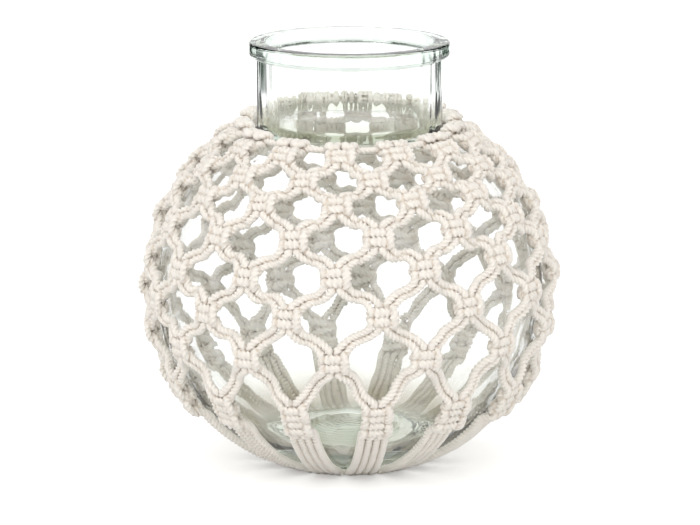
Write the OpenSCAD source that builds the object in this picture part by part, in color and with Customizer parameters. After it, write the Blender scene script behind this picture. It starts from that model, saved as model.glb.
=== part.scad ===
// Glass ball vase with a short wide neck, held in a net of knotted cotton cord.
// Sizes are in millimetres and Z is up. The origin is on the floor, under the
// middle of the foot, and minus Y is the front.

/* [Glass] */
// Outside diameter of the ball at its widest
ball_d = 232; // [215:1:245]
// How far the round of the ball is drawn out from the axis, which makes it squat
ball_squat = 8.5; // [6:0.5:10]
// Wall of the ball at its widest
ball_wall = 4; // [3:0.5:6]
// Outside diameter of the neck
neck_d = 111; // [104:1:114]
// Diameter of the mouth
mouth_d = 99; // [90:1:100]
// Height of the whole vase
vase_h = 256; // [250:1:275]
// Outside diameter of the band round the rim
rim_d = 120; // [116:1:126]
// Height of the band round the rim
rim_h = 7.5; // [6:0.5:12]

/* [Cord net] */
// Thickness of the knotting cord
cord_d = 3.9; // [3.4:0.1:4.1]
// Width of a square knot
knot_w = 17; // [16:0.5:18]
// How far the net has slipped up on the right and down on the left
net_slip = 6.5; // [0:0.5:8]

/* [Hidden] */
$fn = 72;
glass_color = [0.72, 0.80, 0.76, 0.45];
cord_color = [0.90, 0.87, 0.82];

// Gap between the glass and the cords that lie against it
lay_gap = 0.3;

// Glass: the ball's round is a circle set off from the axis
round_r = ball_d / 2 - ball_squat;
ball_z = round_r - 0.5;
hollow_set = ball_squat + 2.5;
hollow_r = round_r - ball_wall - 2.5;
hollow_z = ball_z + 2.5;
neck_r = neck_d / 2;
mouth_r = mouth_d / 2;
rim_r = rim_d / 2;
rim_round = 2.4;
shoulder_round = 5;
throat_round = 9;
lip_round = 2;
foot_round = 1.2;
foot_h = 9;
punt_r = 30;
punt_h = 2.2;
punt_round = (pow(punt_r, 2) / punt_h + punt_h) / 2;

// The ring cord that closes the net round the foot
ring_cord_r = 1.8;
ring_z = 2.2;
ring_set = round_r + ring_cord_r + 0.5;
ring_r = ball_squat + sqrt(pow(ring_set, 2) - pow(ball_z - ring_z, 2));
foot_r = ring_r - ring_cord_r - lay_gap;

// The holding cord that lies in the corner between the neck and the ball
hold_cord_r = 2;
hold_off = 3.9;
hold_r = neck_r + 6;
hold_z = ball_z + sqrt(pow(round_r + hold_off, 2) - pow(hold_r - ball_squat, 2));

// Net: fourteen knots in a row, each row set half a knot on from the last
columns = 14;
turn = 360 / columns;
first_turn = -94;
row_lat = [53.5, 44.6, 36.6, 26, 14.9, 2.8, -10.4, -31];
row_slip = [0.23, 0.28, 0.52, 0.7, 1, 0.68, 0.34, 0];
row_bars = [2, 2, 2, 2, 2, 2, 2, 4];
row_pitch = [4.4, 4.5, 4.8, 5.2, 5.4, 5.4, 5.4, 5.5];
last_row = 7;
strand_r = cord_d / 2;
lay = 3.3;
tail_lay = strand_r + 0.4;
knot_front = 9.3;
body_front = 6.4;
body_side = knot_w / 2 - 1.3;
bar_end = knot_w / 2 - 4.1;
loop_r = 2;
loop_out = knot_front - loop_r;
loop_side = knot_w / 2 - loop_r;
side_in = 5.5;
side_up = 1.5;
cross_up = 1;
inner_y = 2.2;
outer_y = 6.5;
turn_off = 1.1;
turn_r = 4.7;
leg_out = 3.2;

// Shapes in the plane, for the glass

// The round of the ball, from the axis out
module ball_half(set_off, r, z) {
    intersection() {
        union() {
            translate([set_off, z])
                circle(r = r);
            translate([0, z - r])
                square([set_off, 2 * r]);
        }
        translate([0, z - r - 1])
            square([set_off + r + 1, 2 * r + 2]);
    }
}

// What comes off a corner to round it: the corner points away from to_x and to_z
module corner_off(x, z, to_x, to_z, r) {
    d = r * 0.97;
    difference() {
        translate([x + (to_x > 0 ? -1 : -d), z + (to_z > 0 ? -1 : -d)])
            square([d + 1, d + 1]);
        translate([x + to_x * d, z + to_z * d])
            circle(r = r);
    }
}

// What comes off the corner between the bore of the neck and the hollow, to round it
module throat_off(r) {
    d = r * 0.97;
    x = mouth_r + d;
    z = hollow_z + sqrt(pow(hollow_r + d, 2) - pow(x - hollow_set, 2));
    lat = atan2(z - hollow_z, x - hollow_set);
    low_x = hollow_set + (hollow_r - 1) * cos(lat);
    low_z = hollow_z + (hollow_r - 1) * sin(lat);
    difference() {
        polygon([[mouth_r - 1, z], [x, z], [low_x, low_z], [mouth_r - 1, low_z]]);
        translate([x, z])
            circle(r = r);
    }
}

// Middle of the round between the neck and the shoulder of the ball
function shoulder_mid(r) =
    let (d = r * 0.97, x = neck_r + d)
    [x, ball_z + sqrt(pow(round_r + d, 2) - pow(x - ball_squat, 2))];

// The neck, with the corner at its foot filled out to the shoulder
module neck_half(r) {
    mid = shoulder_mid(r);
    lat = atan2(mid[1] - ball_z, mid[0] - ball_squat);
    foot_r = round_r - 1;
    polygon([
        [0, ball_z],
        [neck_r, ball_z],
        [ball_squat + foot_r * cos(lat), ball_z + foot_r * sin(lat)],
        [mid[0], mid[1] - r + 0.5],
        [neck_r + 0.5, mid[1]],
        [neck_r, mid[1]],
        [neck_r, vase_h - rim_h / 2],
        [0, vase_h - rim_h / 2]
    ]);
}

module glass_profile() {
    difference() {
        union() {
            intersection() {
                ball_half(ball_squat, round_r, ball_z);
                square([ball_d, vase_h]);
            }
            square([foot_r, foot_h]);
            neck_half(shoulder_round);
            translate([0, vase_h - rim_h])
                square([rim_r, rim_h]);
        }
        ball_half(hollow_set, hollow_r, hollow_z);
        translate([0, hollow_z])
            square([mouth_r, vase_h]);
        throat_off(throat_round);
        translate([0, punt_h - punt_round])
            circle(r = punt_round);
        translate(shoulder_mid(shoulder_round))
            circle(r = shoulder_round);
        corner_off(foot_r, 0, -1, 1, foot_round);
        corner_off(rim_r, vase_h, -1, -1, rim_round);
        corner_off(rim_r, vase_h - rim_h, -1, 1, rim_round);
        corner_off(mouth_r, vase_h, 1, -1, lip_round);
    }
}

// Points of the net

// A point out from the glass (x), round to the left or right of a knot's middle
// (y) and up the glass (z), for a knot at a latitude and an angle round the vase
function net_point(lat, turned, x, y, z) =
    let (
        out = ball_squat + (round_r + x) * cos(lat) - z * sin(lat),
        up = ball_z + (round_r + x) * sin(lat) + z * cos(lat)
    )
    [out * cos(turned) - y * sin(turned), out * sin(turned) + y * cos(turned), up];

// Latitude of a knot once the net has slipped
function knot_lat(row, round_from_front) =
    row_lat[row]
    + net_slip * row_slip[row] * sin(round_from_front) / round_r * 180 / PI;

function half_height(row) = row_bars[row] * row_pitch[row] / 2;

// Pieces of cord

// A straight run of cord between two points
module run(a, b) {
    d = b - a;
    translate(a)
        rotate([0, acos(d[2] / norm(d)), atan2(d[1], d[0])])
            cylinder(h = norm(d), r = strand_r);
}

// The space on one side of a knot's middle plane
module beside(turned, side) {
    rotate([0, 0, turned])
        translate([0, side > 0 ? 0 : -60, 0])
            cube([ball_d, 60, vase_h]);
}

// An upright loop with round ends, turned in one piece
module upright_loop(h) {
    rotate_extrude()
        intersection() {
            union() {
                translate([0, h / 2 - loop_r])
                    circle(r = loop_r);
                translate([0, loop_r - h / 2])
                    circle(r = loop_r);
                translate([0, loop_r - h / 2])
                    square([loop_r * 0.98, h - 2 * loop_r]);
            }
            translate([0, -h])
                square([loop_r * 2, h * 2]);
        }
}

// Half of a square knot, from its middle plane to its side: the body, the cross
// bars over it and the upright loops that hold them at the side
module half_knot(row, right) {
    h = half_height(row);
    pitch = row_pitch[row];
    bar_r = pitch / 2 * 1.06;
    bars = row_bars[row];
    translate([lay_gap, 0, -h])
        cube([body_front - lay_gap, body_side, h * 2]);
    rotate([90, 0, 0])
        translate([0, 0, -bar_end])
            linear_extrude(height = bar_end)
                intersection() {
                    for (i = [0 : bars - 1])
                        translate([knot_front - bar_r, (i + 0.5) * pitch - h])
                            circle(r = bar_r);
                    translate([body_front - 1, -h])
                        square([knot_front, h * 2]);
                }
    for (i = [0 : right ? bars / 2 - 1 : bars / 2])
        translate([loop_out, loop_side, (right ? 2 * i + 1 : 2 * i) * pitch - h])
            upright_loop(pitch * 2 - 0.3);
}

// The two strands that run on from a knot to the next row's knot. Each crosses
// over to the middle plane of one knot and goes in at the side of the other.
module crossing_pair(row, from_lat, from_turn, to_lat, to_turn, side) {
    h0 = half_height(row);
    h1 = half_height(row + 1);
    intersection() {
        run(net_point(from_lat, from_turn, lay, side * side_in, side_up - h0),
            net_point(to_lat, to_turn, lay, side * 3, h1 + cross_up - 1.5));
        beside(to_turn, -side);
    }
    intersection() {
        run(net_point(from_lat, from_turn, lay, -side * 3, 1.5 - h0 - cross_up),
            net_point(to_lat, to_turn, lay, -side * side_in, h1 - side_up));
        beside(from_turn, side);
    }
}

// One turn of a doubled cord round the holding cord, with the leg below it
module mounted_turn(lat, y) {
    away = atan2(hold_z - ball_z, hold_r - ball_squat);
    drop = hold_r - sqrt(pow(hold_r, 2) - pow(y, 2));
    end = net_point(lat, 0, lay, 0, half_height(0) - 1);
    start = [hold_r + leg_out, 0, hold_z];
    along = (end - start) / norm(end - start);
    across = [along[2], 0, -along[0]] * strand_r;
    translate([0, y + strand_r, 0])
        rotate([90, 0, 0])
            linear_extrude(height = cord_d)
                difference() {
                    union() {
                        translate([hold_r + turn_off * cos(away),
                                   hold_z + turn_off * sin(away)])
                            circle(r = turn_r);
                        polygon([for (p = [start + across, end + across,
                                           end - across, start - across])
                            [p[0], p[2]]]);
                    }
                    translate([hold_r - drop, hold_z])
                        circle(r = hold_cord_r + lay_gap + 0.15);
                }
}

// A strand that lies on the glass from the last knot down to the ring cord
module tail(lat, y) {
    h = half_height(last_row);
    ring_here = sqrt(pow(ring_r, 2) - pow(y, 2));
    ring_lat = atan2(ring_z - ball_z, ring_here - ball_squat);
    reach = (ring_cord_r + lay_gap) / round_r * 180 / PI;
    start_lat = lat - (h - 2) / round_r * 180 / PI;
    translate([ball_squat, -y, ball_z])
        rotate([90, 0, 0])
            rotate_extrude(start = ring_lat + reach, angle = start_lat - ring_lat - reach)
                translate([round_r + tail_lay, 0])
                    circle(r = strand_r);
}

// One doubled cord, from its fold on the holding cord to the ring cord. It makes
// the same half of every other knot in two neighbouring columns. Odd numbers
// lie to the right of their column in the first row and even ones to the left.
module net_cord(number) {
    column = floor((number - 1) / 2);
    right = number % 2 == 1;
    side = right ? 1 : -1;
    from_front = first_turn + 90 + column * turn;
    lats = [for (row = [0 : last_row])
        knot_lat(row, from_front + (row % 2 == 0 ? 0 : side * turn / 2))];
    color(cord_color)
        rotate([0, 0, first_turn + column * turn])
            scale([1, side, 1]) {
                mounted_turn(lats[0], inner_y);
                mounted_turn(lats[0], outer_y);
                for (row = [0 : last_row]) {
                    even = row % 2 == 0;
                    rotate([0, 0, even ? 0 : turn / 2])
                        translate([ball_squat, 0, ball_z])
                            rotate([0, -lats[row], 0])
                                translate([round_r, 0, 0])
                                    scale([1, even ? 1 : -1, 1])
                                        half_knot(row, even == right);
                    if (row < last_row)
                        crossing_pair(row, lats[row], even ? 0 : turn / 2,
                                      lats[row + 1], even ? turn / 2 : 0,
                                      even ? 1 : -1);
                }
                rotate([0, 0, turn / 2])
                    tail(lats[last_row], inner_y);
                rotate([0, 0, turn / 2])
                    tail(lats[last_row], outer_y);
            }
}

module glass_vase() {
    color(glass_color)
        rotate_extrude()
            glass_profile();
}

module hold_cord() {
    color(cord_color)
        rotate_extrude()
            translate([hold_r, hold_z])
                circle(r = hold_cord_r);
}

module ring_cord() {
    color(cord_color)
        rotate_extrude()
            translate([ring_r, ring_z])
                circle(r = ring_cord_r);
}

module cord_01() {
    net_cord(1);
}

module cord_02() {
    net_cord(2);
}

module cord_03() {
    net_cord(3);
}

module cord_04() {
    net_cord(4);
}

module cord_05() {
    net_cord(5);
}

module cord_06() {
    net_cord(6);
}

module cord_07() {
    net_cord(7);
}

module cord_08() {
    net_cord(8);
}

module cord_09() {
    net_cord(9);
}

module cord_10() {
    net_cord(10);
}

module cord_11() {
    net_cord(11);
}

module cord_12() {
    net_cord(12);
}

module cord_13() {
    net_cord(13);
}

module cord_14() {
    net_cord(14);
}

module cord_15() {
    net_cord(15);
}

module cord_16() {
    net_cord(16);
}

module cord_17() {
    net_cord(17);
}

module cord_18() {
    net_cord(18);
}

module cord_19() {
    net_cord(19);
}

module cord_20() {
    net_cord(20);
}

module cord_21() {
    net_cord(21);
}

module cord_22() {
    net_cord(22);
}

module cord_23() {
    net_cord(23);
}

module cord_24() {
    net_cord(24);
}

module cord_25() {
    net_cord(25);
}

module cord_26() {
    net_cord(26);
}

module cord_27() {
    net_cord(27);
}

module cord_28() {
    net_cord(28);
}

glass_vase();
hold_cord();
ring_cord();
cord_01();
cord_02();
cord_03();
cord_04();
cord_05();
cord_06();
cord_07();
cord_08();
cord_09();
cord_10();
cord_11();
cord_12();
cord_13();
cord_14();
cord_15();
cord_16();
cord_17();
cord_18();
cord_19();
cord_20();
cord_21();
cord_22();
cord_23();
cord_24();
cord_25();
cord_26();
cord_27();
cord_28();
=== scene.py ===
# A squat glass ball vase in a net of knotted cotton cord, standing on its foot.
# Shapes are worked out in millimetres and made in metres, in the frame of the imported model,
# with Z up and minus Y in front. The set, lamps, camera and materials are in metres.
import math
import random

import bpy
import numpy as np
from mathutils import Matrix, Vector
from mathutils.kdtree import KDTree


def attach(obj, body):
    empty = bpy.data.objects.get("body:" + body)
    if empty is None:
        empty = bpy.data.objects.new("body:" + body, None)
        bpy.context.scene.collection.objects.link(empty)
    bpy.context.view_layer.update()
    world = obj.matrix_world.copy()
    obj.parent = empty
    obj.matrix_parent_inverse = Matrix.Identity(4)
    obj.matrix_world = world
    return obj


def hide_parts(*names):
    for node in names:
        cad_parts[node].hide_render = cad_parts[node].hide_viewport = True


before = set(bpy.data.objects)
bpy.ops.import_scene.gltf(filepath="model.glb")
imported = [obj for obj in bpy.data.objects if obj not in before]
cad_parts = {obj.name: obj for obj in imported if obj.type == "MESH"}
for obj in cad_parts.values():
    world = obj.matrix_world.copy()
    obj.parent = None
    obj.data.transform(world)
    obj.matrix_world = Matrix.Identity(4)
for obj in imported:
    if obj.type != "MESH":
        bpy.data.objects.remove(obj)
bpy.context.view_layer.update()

MM = 0.001

# Picture
FRAME_W = 700
SENSOR_W = 36
CAMERA_ELEVATION = 11.4
CAMERA_DISTANCE = 2.8
FOCAL_PX = 4667
AIM = (0.0003, 0, 0.1213)

# Set: white panels all round, with dark gaps between them that only the glass shows
WHITE = (1, 1, 1, 1)
WORLD_LIGHT = 1.0
ROOM_COLOUR = (0.02, 0.045, 0.028, 1)
PAPER_COLOUR = (0.9, 0.9, 0.9, 1)
FLOOR_GLOW = 0.28
FLOOR_HALF = 12
PANELS = 5
GAP_START = -0.2
GAP_FULL = -0.7
FLOOR_GAPS_START = 0.9
FLOOR_GAPS_FULL = 1.6

# Lamps: each one's place, strength and size
KEY_PLACE = (-1.0, -2.6, 2.6)
KEY_STRENGTH = 0.52
FILL_PLACE = (2.0, -2.2, 1.2)
FILL_STRENGTH = 0.25
SUN_ANGLE = 60
SOFTBOX_PLACE = (-1.6, -2.0, 1.9)
SOFTBOX_SIZE = 0.4
SOFTBOX_POWER = 5
SOFTBOX_AIM = (0, 0, 0.12)

# Glass: the ball's round is a circle set off from the axis
BALL_SET = 8.5
BALL_R = 107.5
BALL_Z = 107
HOLLOW_SET = 11
HOLLOW_R = 101
HOLLOW_Z = 109.5
NECK_R = 55.5
MOUTH_R = 49.5
VASE_H = 256
RIM_R = 60
RIM_H = 9
RIM_ROUND = 2.2
RIM_UNDER = 1.4
SHOULDER_ROUND = 5
THROAT_ROUND = 9
THROAT_R = 48.5
THROAT_TOP = 228
LIP_ROUND = 2
FOOT_R = 39
FOOT_H = 3.2
FOOT_ROUND = 1.2
PUNT_R = 30
PUNT_H = 2.2
BASE_EDGE_R = 53
BASE_Z = 17.6
BASE_DOME = 2.6
PRESSED_RING_H = 0.08
PRESSED_RING_PITCH = 4
GLASS_STEPS = 200

# Look of the glass: waves and upright streaks in it, and its tints by height, from 0 to 1
GLASS_IOR = 1.5
GLASS_BODY_COLOUR = (0.62, 0.88, 0.74, 1)
GLASS_BODY_DENSITY = 6
WAVE_SCALE = 28
STREAK_STRETCH = (90, 90, 9)
BALL_STREAKS = 0.5
NECK_STREAKS = 4
STREAKS_FROM = 0.195
STREAKS_TO = 0.215
GLASS_BUMP = 0.35
GLASS_BUMP_H = 0.0006
CLEAR = (1, 1, 1, 1)
GLASS_TINTS = (
    (0.012, (0.42, 0.5, 0.4, 1)),
    (0.06, (0.66, 0.61, 0.52, 1)),
    (0.12, (0.91, 0.9, 0.86, 1)),
    (0.2, CLEAR),
    (0.765, CLEAR),
    (0.805, (0.76, 0.79, 0.69, 1)),
    (0.86, CLEAR),
    (0.955, CLEAR),
    (0.985, (0.84, 0.92, 0.86, 1)),
)

# Net: fourteen knots in a row, each row set half a knot on from the last. A row has its
# latitude on the ball, its share of the slip, its knots on top of each other and their size.
COLUMNS = 14
TURN = 360 / COLUMNS
FIRST_TURN = -94
ROW_LAT = (53.5, 44.6, 36.6, 26, 14.9, 2.8, -10.4, -31)
ROW_SLIP = (0.23, 0.28, 0.52, 0.7, 1, 0.68, 0.34, 0)
ROW_KNOTS = (1, 1, 1, 1, 1, 1, 1, 2)
ROW_PITCH = (4.4, 4.5, 4.8, 5.2, 5.4, 5.4, 5.4, 5.5)
NET_SLIP = 6.5
LAST_ROW = len(ROW_LAT) - 1

# How far the strands spread beside a knot: over the first row, under the last, in between
FIRST_SPREAD = 1.5
LAST_SPREAD = 4.2
MOST_SPREAD = 4.6
SPREAD_SHARE = 0.42

# Unevenness of the knots, in degrees, and of the strands
KNOT_LAT_OFF = 0.2
KNOT_TURN_OFF = 0.3
KNOT_TILT = 4
STRAND_OFF = 0.15

# Cords. The holding cord has its radius and height in front and at the back.
STRAND_R = 2.32
HOLD_CORD_R = 1.95
HOLD_OFF = 3.9
HOLD_FRONT = (67.8, 201.3)
HOLD_BACK = (57.7, 212)
RING_CORD_R = 1.8
RING_R = 41.3
RING_Z = 2.2
LAY = 2.3
TAIL_LAY = 2.2
TAIL_PLACES = (2.35, 7)
TAIL_STEPS = 7
CORD_STEP = 0.85
PLY_PITCH = 8.2
PLIES = 3
SIDES = 9
PLY_SHAPE = (1.06, 1.06, 0.76)
FLAT_POWER = -1.15
MOST_FLAT = 1.25
THICK_PART = 0.04
THICK_WAVE = 0.071
# how far past a strand's surface the painted shade between touching strands reaches
CREASE_SHADE_REACH = 0.6
OWN_STEPS = 9

# Look of the cotton, with painted shade in the grooves between its plies and where strands touch
PLY_COLOUR = (0.94, 0.905, 0.85, 1)
# painted shade: the darker colour laid in the grooves between the plies
GROOVE_SHADE_COLOUR = (0.87, 0.81, 0.73, 1)
# painted shade: the colour where a strand lies against another
CREASE_SHADE_COLOUR = (0.74, 0.65, 0.55, 1)
# share of the painted shade in the grooves, set against the fibre streaks
GROOVE_SHADE_SHARE = 0.5
FIBRE_STRETCH = (0.8, 8, 8)
FIBRE_BUMP = 0.5
FIBRE_H = 0.0004

dice = random.Random(11)


def arc(x, z, r, start, end, steps):
    """Points on an arc in the glass's outline, from one angle to another in degrees."""
    angles = np.radians(np.linspace(start, end, steps + 1))
    return [(x + r * math.cos(a), z + r * math.sin(a)) for a in angles]


def corner_round(neck_r, set_off, ball_r, ball_z, r):
    """Middle of a round between an upright wall and the ball, and where it meets the ball."""
    x = neck_r + r
    z = ball_z + math.sqrt((ball_r + r) ** 2 - (x - set_off) ** 2)
    lat = math.degrees(math.atan2(z - ball_z, x - set_off))
    return x, z, lat


def glass_outline():
    """The section of the vase from the axis under the foot, over the rim and back to the axis."""
    punt_r = (PUNT_R ** 2 / PUNT_H + PUNT_H) / 2
    punt_end = math.degrees(math.asin(PUNT_R / punt_r))
    foot_lat = math.degrees(math.asin((FOOT_H - BALL_Z) / BALL_R))
    out_x, out_z, out_lat = corner_round(NECK_R, BALL_SET, BALL_R, BALL_Z, SHOULDER_ROUND)
    in_x, in_z, in_lat = corner_round(THROAT_R, HOLLOW_SET, HOLLOW_R, HOLLOW_Z, THROAT_ROUND)
    under = VASE_H - RIM_H
    outline = arc(0, PUNT_H - punt_r, punt_r, 90, 90 - punt_end, 10)
    outline += arc(FOOT_R - FOOT_ROUND, FOOT_ROUND, FOOT_ROUND, -90, -10, 6)
    outline += arc(BALL_SET, BALL_Z, BALL_R, foot_lat + 1, out_lat, 90)
    outline += arc(out_x, out_z, SHOULDER_ROUND, 180 + out_lat - 4, 180, 8)
    outline += [(NECK_R, z) for z in np.linspace(out_z + 4, under - RIM_UNDER - 0.5, 10)]
    outline += arc(NECK_R + RIM_UNDER, under - RIM_UNDER, RIM_UNDER, 180, 90, 5)
    outline += arc(RIM_R - RIM_ROUND, under + RIM_ROUND, RIM_ROUND, -90, 0, 6)
    outline += arc(RIM_R - RIM_ROUND, VASE_H - RIM_ROUND, RIM_ROUND, 0, 90, 6)
    outline += arc(MOUTH_R + LIP_ROUND, VASE_H - LIP_ROUND, LIP_ROUND, 90, 180, 6)
    outline += [(MOUTH_R, z) for z in np.linspace(VASE_H - LIP_ROUND - 3, THROAT_TOP + 2, 8)]
    outline += thick_foot(in_z)
    outline += arc(in_x, in_z, THROAT_ROUND, 180, 180 + in_lat - 4, 10)
    base_lat = -math.degrees(math.acos((BASE_EDGE_R - HOLLOW_SET) / HOLLOW_R))
    outline += arc(HOLLOW_SET, HOLLOW_Z, HOLLOW_R, in_lat, base_lat + 1, 90)
    outline += thick_base()
    return outline


def thick_base():
    """The inside of the heavy base, from its edge to the middle: a low dome with pressed rings."""
    points = []
    for r in np.linspace(BASE_EDGE_R - 3, 0, 50):
        dome = BASE_DOME * math.cos(math.pi / 2 * r / BASE_EDGE_R)
        ring = PRESSED_RING_H * math.sin(2 * math.pi * r / PRESSED_RING_PITCH)
        points.append((r, BASE_Z + dome + ring))
    return points


def thick_foot(low):
    """The inside of the neck where its foot thickens to the throat, from the top down."""
    points = []
    for along in np.linspace(0, 0.95, 16):
        drawn_in = (1 - math.cos(math.pi * along)) / 2
        r = MOUTH_R + (THROAT_R - MOUTH_R) * drawn_in
        points.append((r, THROAT_TOP + (low - THROAT_TOP) * along))
    return points


def mesh_piece(name, verts, faces, material):
    """A smooth mesh object with one material."""
    mesh = bpy.data.meshes.new(name)
    mesh.from_pydata([tuple(v) for v in verts], [], faces)
    mesh.shade_smooth()
    mesh.materials.append(material)
    piece = bpy.data.objects.new(name, mesh)
    bpy.context.scene.collection.objects.link(piece)
    return piece


def turned_mesh(outline, steps):
    """A closed outline turned about the axis, with a single point at each of its ends."""
    verts = [(0, 0, outline[0][1])]
    inner = outline[1:-1]
    for r, z in inner:
        for k in range(steps):
            a = 2 * math.pi * k / steps
            verts.append((r * math.cos(a), r * math.sin(a), z))
    last = len(verts)
    verts.append((0, 0, outline[-1][1]))
    faces = []
    for k in range(steps):
        n = (k + 1) % steps
        faces.append((0, 1 + n, 1 + k))
        for row in range(len(inner) - 1):
            a = 1 + row * steps
            faces.append((a + k, a + n, a + steps + n, a + steps + k))
        top = 1 + (len(inner) - 1) * steps
        faces.append((last, top + k, top + n))
    return np.array(verts) * MM, faces


def on_glass(lat, turned, x, y, z):
    """A point out from the glass (x), round from a knot's middle (y) and up the glass (z)."""
    lat = math.radians(lat)
    turned = math.radians(turned)
    out = BALL_SET + (BALL_R + x) * math.cos(lat) - z * math.sin(lat)
    up = BALL_Z + (BALL_R + x) * math.sin(lat) + z * math.cos(lat)
    return (
        out * math.cos(turned) - y * math.sin(turned),
        out * math.sin(turned) + y * math.cos(turned),
        up,
    )


def outward(points):
    """The glass's outward direction under each point."""
    reach = np.hypot(points[:, 0], points[:, 1])
    side = reach - BALL_SET
    up = points[:, 2] - BALL_Z
    size = np.hypot(side, up)
    flat = points[:, :2] / reach[:, None] * (side / size)[:, None]
    return np.column_stack([flat, up / size])


def knot_lat(row, azimuth):
    """Latitude of a knot once the net has slipped up on the right."""
    slip = NET_SLIP * ROW_SLIP[row] * math.sin(math.radians(azimuth + 90))
    return ROW_LAT[row] + math.degrees(slip / BALL_R)


def make_knot_places():
    """Where each knot sits: its latitude, its angle round the vase and its tilt."""
    places = {}
    for row in range(LAST_ROW + 1):
        for k in range(COLUMNS):
            azimuth = FIRST_TURN + (k + (0.5 if row % 2 else 0)) * TURN
            lat = knot_lat(row, azimuth) + dice.uniform(-KNOT_LAT_OFF, KNOT_LAT_OFF)
            turned = azimuth + dice.uniform(-KNOT_TURN_OFF, KNOT_TURN_OFF)
            places[row, k] = (lat, turned, dice.uniform(-KNOT_TILT, KNOT_TILT))
    return places


def front_worker(p):
    """The worker that comes in from the right and crosses in front, there and back."""
    return [
        (6.4, 5.4, 0.54 * p, 0.90),
        (7.5, 3.6, 0.50 * p, 0.80),
        (7.9, 0.0, 0.50 * p, 0.78),
        (7.5, -4.0, 0.50 * p, 0.80),
        (4.8, -6.2, 0.42 * p, 0.88),
        (4.2, -6.9, 0.00, 0.90),
        (4.8, -6.2, -0.42 * p, 0.88),
        (7.5, -4.0, -0.50 * p, 0.80),
        (7.9, 0.0, -0.50 * p, 0.78),
        (7.5, 3.6, -0.50 * p, 0.80),
        (6.4, 5.4, -0.54 * p, 0.90),
    ]


def back_worker(p):
    """The worker that comes in from the left, crosses behind and makes the loop on the right."""
    return [
        (7.0, -6.6, 0.40 * p, 0.95),
        (5.6, -6.2, 0.18 * p, 0.90),
        (2.6, -5.0, 0.14 * p, 0.75),
        (1.7, 0.0, 0.45 * p, 0.70),
        (2.4, 4.4, 0.85 * p, 0.75),
        (6.2, 5.9, 0.98 * p, 0.92),
        (8.4, 6.4, 0.62 * p, 0.90),
        (8.9, 6.6, 0.00, 0.85),
        (8.4, 6.4, -0.62 * p, 0.90),
        (6.2, 5.9, -0.98 * p, 0.92),
        (2.4, 4.4, -0.85 * p, 0.75),
        (1.7, 0.0, -0.45 * p, 0.70),
        (2.6, -5.0, -0.14 * p, 0.75),
        (5.6, -6.2, -0.18 * p, 0.90),
        (7.0, -6.6, -0.40 * p, 0.95),
    ]


def filler_arm(half, top, v):
    """The way of a middle strand into a knot from above, down one arm of the V."""
    return [
        (3.8, 7.4 * half, top + 1.42 * v, 1.0),
        (5.2, 4.2 * half, top + 0.90 * v, 1.0),
        (6.0, 2.4 * half, top + 0.45 * v, 0.90),
        (5.0, 2.0 * half, top - 0.6, 0.85),
    ]


def front_arm(half, top, v):
    """The way of the front worker into a knot from above, at its side."""
    return [
        (3.4, 10.4 * half, top + 0.80 * v, 1.0),
        (4.4, 8.2 * half, top + 0.38 * v, 1.0),
        (5.2, 6.8 * half, top - 1.0, 0.95),
    ]


def back_arm(half, top, v):
    """The way of the back worker into a knot from above, at its side."""
    return [
        (3.4, 10.4 * half, top + 0.80 * v, 1.0),
        (5.4, 8.2 * half, top + 0.36 * v, 1.0),
        (7.0, 6.8 * half, top - 1.4, 0.95),
    ]


def arm_height(row):
    """How far the strands between two rows of knots spread up and down beside the knots."""
    if row < 0:
        return FIRST_SPREAD
    if row == LAST_ROW:
        return LAST_SPREAD
    apart = math.radians(ROW_LAT[row] - ROW_LAT[row + 1]) * BALL_R
    gap = apart - ROW_PITCH[row] * ROW_KNOTS[row] - ROW_PITCH[row + 1] * ROW_KNOTS[row + 1]
    return min(MOST_SPREAD, SPREAD_SHARE * gap)


def upside_down(points):
    """The same points below a knot's middle, in the order that a strand leaves by."""
    return [(x, y, -z, f) for x, y, z, f in reversed(points)]


def through_knot(row, half, works):
    """One strand through a knot, in the knot's own frame, with its way in and out."""
    p = ROW_PITCH[row]
    top = p * ROW_KNOTS[row]
    above = arm_height(row - 1)
    below = arm_height(row)
    if not works:
        return filler_arm(half, top, above) + upside_down(filler_arm(half, top, below))
    path = front_worker(p) if half > 0 else back_worker(p)
    arm = front_arm if half > 0 else back_arm
    points = []
    for k in range(ROW_KNOTS[row]):
        middle = top - p - 2 * p * k
        points += [(x, y, z + middle, f) for x, y, z, f in path]
    return arm(half, top, above) + points + upside_down(arm(half, top, below))


def place_points(points, lat, turned, tilt):
    """Points of a knot's own frame put on the glass, with a little unevenness."""
    c = math.cos(math.radians(tilt))
    s = math.sin(math.radians(tilt))
    placed = []
    for x, y, z, f in points:
        y2 = y * c - z * s + dice.uniform(-STRAND_OFF, STRAND_OFF)
        z2 = y * s + z * c + dice.uniform(-STRAND_OFF, STRAND_OFF)
        placed.append((*on_glass(lat, turned, x, y2, z2), f))
    return placed


def between(a, b, x):
    """The point halfway between two points, laid on the glass."""
    middle = (np.array(a[:3]) + np.array(b[:3])) / 2
    reach = math.hypot(middle[0], middle[1])
    lat = math.degrees(math.atan2(middle[2] - BALL_Z, reach - BALL_SET))
    turned = math.degrees(math.atan2(middle[1], middle[0]))
    return (*on_glass(lat, turned, x, 0, 0), 1)


def tail(turned, y, lat):
    """A strand down the glass from the last knot to the ring cord, and over the ring's outside."""
    end_lat = math.degrees(math.atan2(RING_Z - BALL_Z, RING_R + 2.4 - BALL_SET))
    points = []
    for k in range(TAIL_STEPS + 1):
        along = lat + (end_lat - lat) * k / TAIL_STEPS
        squeeze = 1 - 0.1 * k / TAIL_STEPS
        closer = y * (1 - 0.08 * k / TAIL_STEPS)
        points.append((*on_glass(along, turned, TAIL_LAY, closer, 0), squeeze))
    out = RING_R + RING_CORD_R + 1.2
    a = math.radians(turned)
    y *= 0.92
    end_x = out * math.cos(a) - y * math.sin(a)
    end_y = out * math.sin(a) + y * math.cos(a)
    points.append((end_x, end_y, 1.5, 0.55))
    return points


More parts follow.
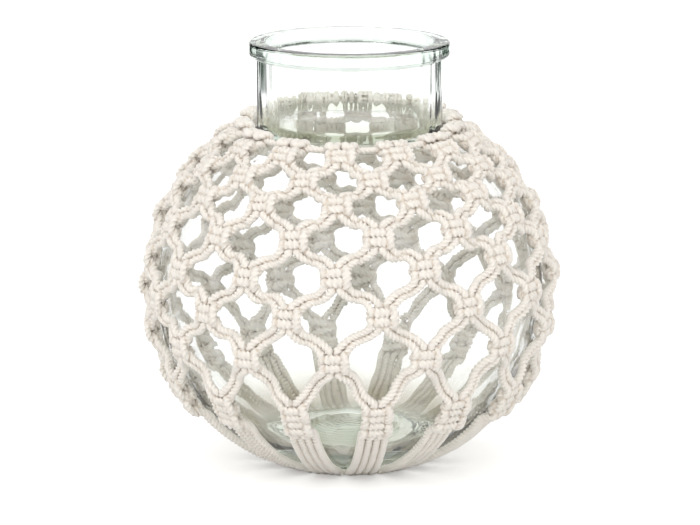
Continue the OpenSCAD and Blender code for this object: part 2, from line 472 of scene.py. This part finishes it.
def down_strand(places, column, side, inner):
    """One strand of a doubled cord from under the holding cord to the foot."""
    route = []
    for row in range(LAST_ROW + 1):
        even = row % 2 == 0
        half = side if even else -side
        index = column if even or side > 0 else (column - 1) % COLUMNS
        lat, turned, tilt = places[row, index]
        works = even != inner
        points = through_knot(row, half, works)
        if row == 0:
            points = points[2:]
        if row == LAST_ROW:
            points = points[:-2]
        placed = place_points(points, lat, turned, tilt)
        if row > 0:
            route.append(between(route[-1], placed[0], LAY))
        route += placed
    top = ROW_PITCH[LAST_ROW] * ROW_KNOTS[LAST_ROW]
    y = TAIL_PLACES[0 if inner == (LAST_ROW % 2 == 0) else 1] * half
    below = lat - math.degrees((top + 4) / BALL_R)
    return route + tail(turned, y, below)


def hold_place(azimuth):
    """How far out and how high the holding cord lies: it hangs low in front, on the shoulder."""
    front = (1 - math.sin(math.radians(azimuth))) / 2
    return [back + (fore - back) * front for fore, back in zip(HOLD_FRONT, HOLD_BACK)]


def hold_ring(step):
    """The closed route of the holding cord round the neck, at even angles."""
    count = int(round(2 * math.pi * HOLD_FRONT[0] / step))
    points = []
    for k in range(count):
        r, z = hold_place(360 * k / count)
        a = 2 * math.pi * k / count
        points.append((r * math.cos(a), r * math.sin(a), z, 1))
    return np.array(points)


def larks_head(column, side):
    """The fold of a cord over the holding cord, from its inner leg to its outer leg."""
    turned = FIRST_TURN + column * TURN
    r, z = hold_place(turned)
    hold_lat = math.degrees(math.atan2(z - BALL_Z, r - BALL_SET))
    lift = math.hypot(z - BALL_Z, r - BALL_SET) - BALL_R - HOLD_OFF
    room = math.radians(hold_lat - ROW_LAT[0]) * BALL_R - ROW_PITCH[0]
    drop = min(1, room / 11)
    leg = [
        (3.3, -7.4, 1.0),
        (2.8, -5.0, 0.85),
        (1.3, -2.2, 0.55),
        (1.2, 1.0, 0.55),
        (3.4, 3.2, 0.7),
        (5.9, 2.0, 0.8),
    ]
    spread = 1 + 0.16 * (1 + math.sin(math.radians(turned)))
    inner_y = 2.3 * spread
    outer_y = 7.0 * spread
    mid_y = (inner_y + outer_y) / 2
    leg = [(x + lift, z * drop if z < 0 else z, f) for x, z, f in leg]
    points = [(x, inner_y, z, f) for x, z, f in leg]
    points += [(7.0 + lift, inner_y + 0.3, -0.7, 0.85)]
    points += [(7.3 + lift, mid_y, -1.9, 0.88)]
    points += [(7.0 + lift, outer_y - 0.3, -0.7, 0.85)]
    points += [(x, outer_y, z, f) for x, z, f in reversed(leg)]
    points = [(x, y * side, z, f) for x, y, z, f in points]
    return place_points(points, hold_lat, turned, 0)


def cord_route(places, number):
    """A whole doubled cord: up one strand, over the holding cord and down the other."""
    column = (number - 1) // 2
    side = 1 if number % 2 == 1 else -1
    up = down_strand(places, column, side, True)[::-1]
    down = down_strand(places, column, side, False)
    return up + larks_head(column, side) + down


def smooth_route(points, step):
    """A smooth curve through the points, with its flatness, at even steps."""
    p = np.array(points)
    p = np.vstack([2 * p[0] - p[1], p, 2 * p[-1] - p[-2]])
    gaps = np.sqrt(np.linalg.norm(np.diff(p[:, :3], axis=0), axis=1))
    gaps = np.maximum(gaps, 0.2)
    pieces = []
    for k in range(1, len(p) - 2):
        a, b, c, d = p[k - 1:k + 3]
        t = np.linspace(0, 1, 9)[:-1, None]
        before, here, after = gaps[k - 1], gaps[k], gaps[k + 1]
        start = here * ((b - a) / before - (c - a) / (before + here) + (c - b) / here)
        end = here * ((c - b) / here - (d - b) / (here + after) + (d - c) / after)
        curve = (2 * t ** 3 - 3 * t ** 2 + 1) * b + (t ** 3 - 2 * t ** 2 + t) * start
        curve += (3 * t ** 2 - 2 * t ** 3) * c + (t ** 3 - t ** 2) * end
        pieces.append(curve)
    fine = np.vstack(pieces + [p[-2:-1]])
    along = np.concatenate([[0], np.cumsum(np.linalg.norm(np.diff(fine[:, :3], axis=0), axis=1))])
    count = int(round(along[-1] / step))
    even = np.linspace(0, along[-1], count + 1)
    return np.column_stack([np.interp(even, along, fine[:, i]) for i in range(4)])


def carried_frames(points, closed):
    """Two directions across a route, carried along it without turning about it."""
    if closed:
        along = np.roll(points, -1, axis=0) - np.roll(points, 1, axis=0)
    else:
        along = np.gradient(points, axis=0)
    along /= np.linalg.norm(along, axis=1)[:, None]
    side = np.cross(along[0], (0.3, 0.2, 1))
    side /= np.linalg.norm(side)
    sides = []
    for t in along:
        side = side - t * np.dot(side, t)
        side /= np.linalg.norm(side)
        sides.append(side)
    sides = np.array(sides)
    return sides, np.cross(along, sides)


def crease_shade_depth(verts, points, number, tree, owners):
    """How near each point of a cord is to another strand, from 0 to 1 where they touch, as the
    mask of the painted shade between strands.
    """
    depth = np.zeros(verts.shape[:2])
    reach = 2 * STRAND_R + CREASE_SHADE_REACH
    for k, middle in enumerate(points):
        near = []
        for place, index, _ in tree.find_range(middle, reach):
            owner, step = owners[index]
            if owner != number or abs(step - k) > OWN_STEPS:
                near.append(place)
        if near:
            gaps = np.linalg.norm(verts[k][:, None] - np.array(near)[None], axis=2).min(axis=1)
            depth[k] = np.clip((STRAND_R + CREASE_SHADE_REACH - gaps) / CREASE_SHADE_REACH, 0, 1)
    return depth


def strand_tree(routes):
    """A search tree of the middles of all the cords, with the cord and step of each."""
    owners = [(number, k) for number, route in enumerate(routes) for k in range(len(route))]
    tree = KDTree(len(owners))
    for index, (number, k) in enumerate(owners):
        tree.insert(routes[number][k, :3], index)
    tree.balance()
    return tree, owners


def twisted_cord(name, number, routes, radius, step, closed, material, tree, owners):
    """A three-ply cord along a route: its plies are lobes that turn about it as it goes."""
    route = routes[number]
    points = route[:, :3]
    flat = route[:, 3:4]
    one, two = carried_frames(points, closed)
    count = len(points)
    if closed:
        turns = max(1, round(count * step / PLY_PITCH * PLIES)) / PLIES
        turning = np.linspace(0, 2 * math.pi * turns, count, endpoint=False)
        back = math.atan2(np.dot(one[0], two[-1]), np.dot(one[0], one[-1]))
        turning += np.linspace(0, back, count, endpoint=False)
    else:
        turning = np.arange(count) * step / PLY_PITCH * 2 * math.pi + dice.uniform(0, 6)
    facing = outward(points)
    thick = 1 + THICK_PART * np.sin(np.arange(count) * THICK_WAVE + dice.uniform(0, 6))
    wide = np.minimum(flat ** FLAT_POWER, MOST_FLAT)
    verts = np.empty((count, SIDES, 3))
    for k in range(SIDES):
        angle = turning + 2 * math.pi * k / SIDES
        reach = radius * PLY_SHAPE[k % len(PLY_SHAPE)] * thick
        off = (one * np.cos(angle)[:, None] + two * np.sin(angle)[:, None]) * reach[:, None]
        lean = np.sum(off * facing, axis=1)[:, None] * facing
        verts[:, k] = points + off * wide + lean * (flat - wide)
    rows = count if closed else count - 1
    faces = []
    for r in range(rows):
        a = r * SIDES
        b = (r + 1) % count * SIDES
        for k in range(SIDES):
            n = (k + 1) % SIDES
            faces.append((a + k, a + n, b + n, b + k))
    if not closed:
        faces.append(tuple(range(SIDES - 1, -1, -1)))
        faces.append(tuple((count - 1) * SIDES + k for k in range(SIDES)))
    piece = mesh_piece(name, verts.reshape(-1, 3) * MM, faces, material)
    # painted shade where this cord lies against other strands
    crease_shades = crease_shade_depth(verts, points, number, tree, owners)
    add_cord_marks(piece.data, count, step, crease_shades)
    return piece


def add_cord_marks(mesh, count, step, crease_shades):
    """Where each point of a cord lies: along it, round it and how deep between its plies, and how
    near it is to another strand: the masks of the painted shade.
    """
    low = min(PLY_SHAPE)
    deep = np.array([1 - (r - low) / (max(PLY_SHAPE) - low) for r in PLY_SHAPE])
    groove_shade = np.tile(np.tile(deep, PLIES), count)
    far = np.repeat(np.arange(count) * step, SIDES)
    round_it = np.tile(np.arange(SIDES) / SIDES, count)
    place = np.column_stack([far, np.cos(round_it * 2 * math.pi), np.sin(round_it * 2 * math.pi)])
    # mask of the painted shade in the grooves between the plies
    mesh.attributes.new("groove_shade", "FLOAT", "POINT").data.foreach_set("value", groove_shade)
    mesh.attributes.new("crease_shade", "FLOAT", "POINT").data.foreach_set("value", crease_shades.ravel())
    mesh.attributes.new("yarn", "FLOAT_VECTOR", "POINT").data.foreach_set("vector", place.ravel())


def circle_route(r, z, step):
    """A level ring round the axis at even steps."""
    count = int(round(2 * math.pi * r / step))
    angles = np.arange(count) * 2 * math.pi / count
    ones = np.ones(count)
    return np.column_stack([r * np.cos(angles), r * np.sin(angles), z * ones, ones])


def new_material(name):
    """An empty node material, with its output."""
    material = bpy.data.materials.new(name)
    material.use_nodes = True
    nodes = material.node_tree.nodes
    nodes.clear()
    return material, nodes, material.node_tree.links, nodes.new("ShaderNodeOutputMaterial")


def glass_tint(nodes, links, height):
    """The tint of the glass at a height."""
    level = nodes.new("ShaderNodeMath")
    level.operation = "DIVIDE"
    level.inputs[1].default_value = VASE_H * MM
    tint = nodes.new("ShaderNodeValToRGB")
    colours = tint.color_ramp.elements
    colours[0].position, colours[0].color = GLASS_TINTS[0]
    colours[1].position, colours[1].color = GLASS_TINTS[-1]
    for where, colour in GLASS_TINTS[1:-1]:
        colours.new(where).color = colour
    links.new(height, level.inputs[0])
    links.new(level.outputs["Value"], tint.inputs["Fac"])
    return tint.outputs["Color"]


def glass_waves(nodes, links, place, height):
    """The uneven surface of the glass: soft waves, and upright streaks, mostly in the neck."""
    wave = nodes.new("ShaderNodeTexNoise")
    wave.inputs["Scale"].default_value = WAVE_SCALE
    wave.inputs["Detail"].default_value = 1
    stretch = nodes.new("ShaderNodeVectorMath")
    stretch.operation = "MULTIPLY"
    stretch.inputs[1].default_value = STREAK_STRETCH
    streaks = nodes.new("ShaderNodeTexNoise")
    streaks.inputs["Scale"].default_value = 1
    streaks.inputs["Detail"].default_value = 1
    drawn = nodes.new("ShaderNodeMapRange")
    drawn.inputs["From Min"].default_value = STREAKS_FROM
    drawn.inputs["From Max"].default_value = STREAKS_TO
    drawn.inputs["To Min"].default_value = BALL_STREAKS
    drawn.inputs["To Max"].default_value = NECK_STREAKS
    both = nodes.new("ShaderNodeMath")
    both.operation = "MULTIPLY_ADD"
    bump = nodes.new("ShaderNodeBump")
    bump.inputs["Strength"].default_value = GLASS_BUMP
    bump.inputs["Distance"].default_value = GLASS_BUMP_H
    links.new(place, wave.inputs["Vector"])
    links.new(place, stretch.inputs[0])
    links.new(stretch.outputs["Vector"], streaks.inputs["Vector"])
    links.new(height, drawn.inputs["Value"])
    links.new(streaks.outputs["Fac"], both.inputs[0])
    links.new(drawn.outputs["Result"], both.inputs[1])
    links.new(wave.outputs["Fac"], both.inputs[2])
    links.new(both.outputs["Value"], bump.inputs["Height"])
    return bump.outputs["Normal"]


def make_glass():
    """Greenish glass with a hand-made wave. Lamps and soft light pass it unbent to the net."""
    material, nodes, links, out = new_material("recycled_glass")
    glass = nodes.new("ShaderNodeBsdfPrincipled")
    glass.inputs["Roughness"].default_value = 0.0
    glass.inputs["IOR"].default_value = GLASS_IOR
    glass.inputs["Transmission Weight"].default_value = 1
    place = nodes.new("ShaderNodeTexCoord")
    parts = nodes.new("ShaderNodeSeparateXYZ")
    clear = nodes.new("ShaderNodeBsdfTransparent")
    clear.inputs["Color"].default_value = CLEAR
    path = nodes.new("ShaderNodeLightPath")
    lit = nodes.new("ShaderNodeMixShader")
    glow = nodes.new("ShaderNodeMixShader")
    body = nodes.new("ShaderNodeVolumeAbsorption")
    body.inputs["Color"].default_value = GLASS_BODY_COLOUR
    body.inputs["Density"].default_value = GLASS_BODY_DENSITY
    links.new(place.outputs["Object"], parts.inputs["Vector"])
    height = parts.outputs["Z"]
    links.new(glass_tint(nodes, links, height), glass.inputs["Base Color"])
    waves = glass_waves(nodes, links, place.outputs["Object"], height)
    links.new(waves, glass.inputs["Normal"])
    links.new(path.outputs["Is Shadow Ray"], lit.inputs["Fac"])
    links.new(glass.outputs["BSDF"], lit.inputs[1])
    links.new(clear.outputs["BSDF"], lit.inputs[2])
    links.new(path.outputs["Is Diffuse Ray"], glow.inputs["Fac"])
    links.new(lit.outputs["Shader"], glow.inputs[1])
    links.new(clear.outputs["BSDF"], glow.inputs[2])
    links.new(glow.outputs["Shader"], out.inputs["Surface"])
    links.new(body.outputs["Volume"], out.inputs["Volume"])
    return material


def make_cotton():
    """Undyed cotton cord: pale, matt and streaked along its plies, with painted shade in the
    grooves between the plies and where strands touch.
    """
    material, nodes, links, out = new_material("undyed_cotton")
    cotton = nodes.new("ShaderNodeBsdfPrincipled")
    cotton.inputs["Roughness"].default_value = 0.9
    cotton.inputs["Specular IOR Level"].default_value = 0.2
    cotton.inputs["Sheen Weight"].default_value = 0.3
    cotton.inputs["Sheen Roughness"].default_value = 0.6
    groove_shade = nodes.new("ShaderNodeAttribute")
    groove_shade.attribute_name = "groove_shade"
    crease_shade = nodes.new("ShaderNodeAttribute")
    crease_shade.attribute_name = "crease_shade"
    yarn = nodes.new("ShaderNodeAttribute")
    yarn.attribute_name = "yarn"
    stretch = nodes.new("ShaderNodeVectorMath")
    stretch.operation = "MULTIPLY"
    stretch.inputs[1].default_value = FIBRE_STRETCH
    fibres = nodes.new("ShaderNodeTexNoise")
    fibres.inputs["Scale"].default_value = 1
    fibres.inputs["Detail"].default_value = 3
    shade = nodes.new("ShaderNodeMath")
    shade.operation = "MULTIPLY_ADD"
    shade.inputs[1].default_value = GROOVE_SHADE_SHARE
    tone = nodes.new("ShaderNodeValToRGB")
    tone.color_ramp.elements[0].position = 0.15
    tone.color_ramp.elements[0].color = PLY_COLOUR
    tone.color_ramp.elements[1].position = 0.95
    tone.color_ramp.elements[1].color = GROOVE_SHADE_COLOUR
    mix = nodes.new("ShaderNodeMix")
    mix.data_type = "RGBA"
    plain, shaded = [socket for socket in mix.inputs if socket.type == "RGBA"]
    shaded.default_value = CREASE_SHADE_COLOUR
    mixed = [socket for socket in mix.outputs if socket.type == "RGBA"][0]
    height = nodes.new("ShaderNodeBump")
    height.inputs["Strength"].default_value = FIBRE_BUMP
    height.inputs["Distance"].default_value = FIBRE_H
    links.new(yarn.outputs["Vector"], stretch.inputs[0])
    links.new(stretch.outputs["Vector"], fibres.inputs["Vector"])
    # painted shade: the tone darkens towards the grooves between the plies, and the fibre streaks
    # vary it at random
    links.new(groove_shade.outputs["Fac"], shade.inputs[0])
    links.new(fibres.outputs["Fac"], shade.inputs[2])
    links.new(shade.outputs["Value"], tone.inputs["Fac"])
    links.new(tone.outputs["Color"], plain)
    # painted shade: darker where the strand lies against another
    links.new(crease_shade.outputs["Fac"], mix.inputs["Factor"])
    links.new(mixed, cotton.inputs["Base Color"])
    links.new(fibres.outputs["Fac"], height.inputs["Height"])
    links.new(height.outputs["Normal"], cotton.inputs["Normal"])
    links.new(cotton.outputs["BSDF"], out.inputs["Surface"])
    return material


def any_ray(nodes, links, *kinds):
    """A value that is 1 for rays of any of these kinds, and 0 for the others."""
    path = nodes.new("ShaderNodeLightPath")
    value = path.outputs[kinds[0]]
    for kind in kinds[1:]:
        either = nodes.new("ShaderNodeMath")
        either.operation = "MAXIMUM"
        links.new(value, either.inputs[0])
        links.new(path.outputs[kind], either.inputs[1])
        value = either.outputs["Value"]
    return value


def seen_rays(nodes, links):
    """1 for rays from the camera, a reflection or through glass."""
    return any_ray(nodes, links, "Is Camera Ray", "Is Glossy Ray", "Is Transmission Ray")


def glass_rays(nodes, links):
    """1 for rays in a reflection or through glass, which alone see the dark gaps."""
    return any_ray(nodes, links, "Is Glossy Ray", "Is Transmission Ray")


def gap_group():
    """Where the dark gaps between the white panels round the set are, by direction."""
    group = bpy.data.node_groups.new("panel_gaps", "ShaderNodeTree")
    face = group.interface
    face.new_socket("Direction", in_out="INPUT", socket_type="NodeSocketVector")
    face.new_socket("Gap", in_out="OUTPUT", socket_type="NodeSocketFloat")
    nodes = group.nodes
    links = group.links
    given = nodes.new("NodeGroupInput")
    out = nodes.new("NodeGroupOutput")
    parts = nodes.new("ShaderNodeSeparateXYZ")
    around = nodes.new("ShaderNodeMath")
    around.operation = "ARCTAN2"
    panels = nodes.new("ShaderNodeMath")
    panels.operation = "MULTIPLY"
    panels.inputs[1].default_value = PANELS
    wave = nodes.new("ShaderNodeMath")
    wave.operation = "COSINE"
    level = nodes.new("ShaderNodeMapRange")
    level.interpolation_type = "SMOOTHSTEP"
    level.inputs["From Min"].default_value = GAP_START
    level.inputs["From Max"].default_value = GAP_FULL
    links.new(given.outputs["Direction"], parts.inputs["Vector"])
    links.new(parts.outputs["X"], around.inputs[0])
    links.new(parts.outputs["Y"], around.inputs[1])
    links.new(around.outputs["Value"], panels.inputs[0])
    links.new(panels.outputs["Value"], wave.inputs[0])
    links.new(wave.outputs["Value"], level.inputs["Value"])
    links.new(level.outputs["Result"], out.inputs["Gap"])
    return group


def gap_colour(nodes, links, gap, plain):
    """A colour that is plain outside the gaps and the colour of the dark room in them."""
    mix = nodes.new("ShaderNodeMix")
    mix.data_type = "RGBA"
    outside, inside = [socket for socket in mix.inputs if socket.type == "RGBA"]
    outside.default_value = plain
    inside.default_value = ROOM_COLOUR
    links.new(gap, mix.inputs["Factor"])
    return [socket for socket in mix.outputs if socket.type == "RGBA"][0]


def product(nodes, links, one, two):
    """One value times another."""
    times = nodes.new("ShaderNodeMath")
    times.operation = "MULTIPLY"
    links.new(one, times.inputs[0])
    links.new(two, times.inputs[1])
    return times.outputs["Value"]


def make_floor(gaps):
    """A wide white floor that keeps the vase's shadow, with dark gaps far out for the glass."""
    material, nodes, links, out = new_material("white_floor")
    paper = nodes.new("ShaderNodeBsdfPrincipled")
    paper.inputs["Roughness"].default_value = 1
    paper.inputs["Specular IOR Level"].default_value = 0
    place = nodes.new("ShaderNodeTexCoord")
    spokes = nodes.new("ShaderNodeGroup")
    spokes.node_tree = gaps
    reach = nodes.new("ShaderNodeVectorMath")
    reach.operation = "LENGTH"
    far = nodes.new("ShaderNodeMapRange")
    far.inputs["From Min"].default_value = FLOOR_GAPS_START
    far.inputs["From Max"].default_value = FLOOR_GAPS_FULL
    level = nodes.new("ShaderNodeMath")
    level.operation = "MULTIPLY"
    level.inputs[1].default_value = FLOOR_GLOW
    links.new(place.outputs["Object"], spokes.inputs["Direction"])
    links.new(place.outputs["Object"], reach.inputs[0])
    links.new(reach.outputs["Value"], far.inputs["Value"])
    gap = product(nodes, links, spokes.outputs["Gap"], far.outputs["Result"])
    gap = product(nodes, links, gap, glass_rays(nodes, links))
    links.new(gap_colour(nodes, links, gap, PAPER_COLOUR), paper.inputs["Base Color"])
    links.new(gap_colour(nodes, links, gap, WHITE), paper.inputs["Emission Color"])
    links.new(seen_rays(nodes, links), level.inputs[0])
    links.new(level.outputs["Value"], paper.inputs["Emission Strength"])
    links.new(paper.outputs["BSDF"], out.inputs["Surface"])
    half = FLOOR_HALF
    corners = [(-half, -half, 0), (half, -half, 0), (half, half, 0), (-half, half, 0)]
    floor = mesh_piece("floor", corners, [(0, 1, 2, 3)], material)


def make_world(gaps):
    """White panels all round the set; softer and without gaps where they only give light."""
    world = bpy.data.worlds.new("studio")
    bpy.context.scene.world = world
    world.use_nodes = True
    nodes = world.node_tree.nodes
    links = world.node_tree.links
    sky = nodes["Background"]
    place = nodes.new("ShaderNodeTexCoord")
    room = nodes.new("ShaderNodeGroup")
    room.node_tree = gaps
    level = nodes.new("ShaderNodeMapRange")
    level.inputs["To Min"].default_value = WORLD_LIGHT
    links.new(place.outputs["Generated"], room.inputs["Direction"])
    gap = product(nodes, links, room.outputs["Gap"], glass_rays(nodes, links))
    links.new(gap_colour(nodes, links, gap, WHITE), sky.inputs["Color"])
    links.new(seen_rays(nodes, links), level.inputs["Value"])
    links.new(level.outputs["Result"], sky.inputs["Strength"])


def aimed(obj, target):
    """Turn a lamp or camera to face a point."""
    obj.rotation_euler = (Vector(target) - obj.location).to_track_quat("-Z", "Y").to_euler()


def make_sun(name, place, strength):
    """A soft distant lamp."""
    lamp = bpy.data.lights.new(name, "SUN")
    lamp.energy = strength
    lamp.angle = math.radians(SUN_ANGLE)
    obj = bpy.data.objects.new(name, lamp)
    obj.location = place
    aimed(obj, (0, 0, 0))
    bpy.context.scene.collection.objects.link(obj)


def make_softbox(name, place, size, power):
    """A square softbox that shows as a highlight in the glass."""
    lamp = bpy.data.lights.new(name, "AREA")
    lamp.energy = power
    lamp.size = size
    obj = bpy.data.objects.new(name, lamp)
    obj.location = place
    aimed(obj, SOFTBOX_AIM)
    bpy.context.scene.collection.objects.link(obj)


def make_camera():
    """The photograph's view: far off, a little above the shoulder of the vase."""
    camera = bpy.data.cameras.new("camera")
    camera.lens = FOCAL_PX / FRAME_W * SENSOR_W
    camera.sensor_width = SENSOR_W
    camera.clip_end = 100
    obj = bpy.data.objects.new("camera", camera)
    lift = math.radians(CAMERA_ELEVATION)
    off = Vector((0, -math.cos(lift), math.sin(lift))) * CAMERA_DISTANCE
    obj.location = Vector(AIM) + off
    aimed(obj, AIM)
    bpy.context.scene.collection.objects.link(obj)
    bpy.context.scene.camera = obj


bpy.context.scene.view_settings.view_transform = "Standard"
make_camera()
gaps = gap_group()
make_world(gaps)
make_floor(gaps)
make_sun("key_light", KEY_PLACE, KEY_STRENGTH)
make_sun("fill_light", FILL_PLACE, FILL_STRENGTH)
make_softbox("left_softbox", SOFTBOX_PLACE, SOFTBOX_SIZE, SOFTBOX_POWER)

glass = make_glass()
cotton = make_cotton()

verts, faces = turned_mesh(glass_outline(), GLASS_STEPS)
vase = mesh_piece("glass_body", verts, faces, glass)
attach(vase, "root")
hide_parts("glass_vase")

places = make_knot_places()
routes = [hold_ring(CORD_STEP), circle_route(RING_R, RING_Z, CORD_STEP)]
for number in range(1, 2 * COLUMNS + 1):
    routes.append(smooth_route(cord_route(places, number), CORD_STEP))
tree, owners = strand_tree(routes)
cords = [("neck_cord", "hold_cord", HOLD_CORD_R), ("foot_cord", "ring_cord", RING_CORD_R)]
for number in range(1, 2 * COLUMNS + 1):
    cords.append(("net_cord_%02d" % number, "cord_%02d" % number, STRAND_R))
for number, (name, node, radius) in enumerate(cords):
    closed = number < 2
    piece = twisted_cord(name, number, routes, radius, CORD_STEP, closed, cotton, tree, owners)
    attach(piece, "root")
    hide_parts(node)
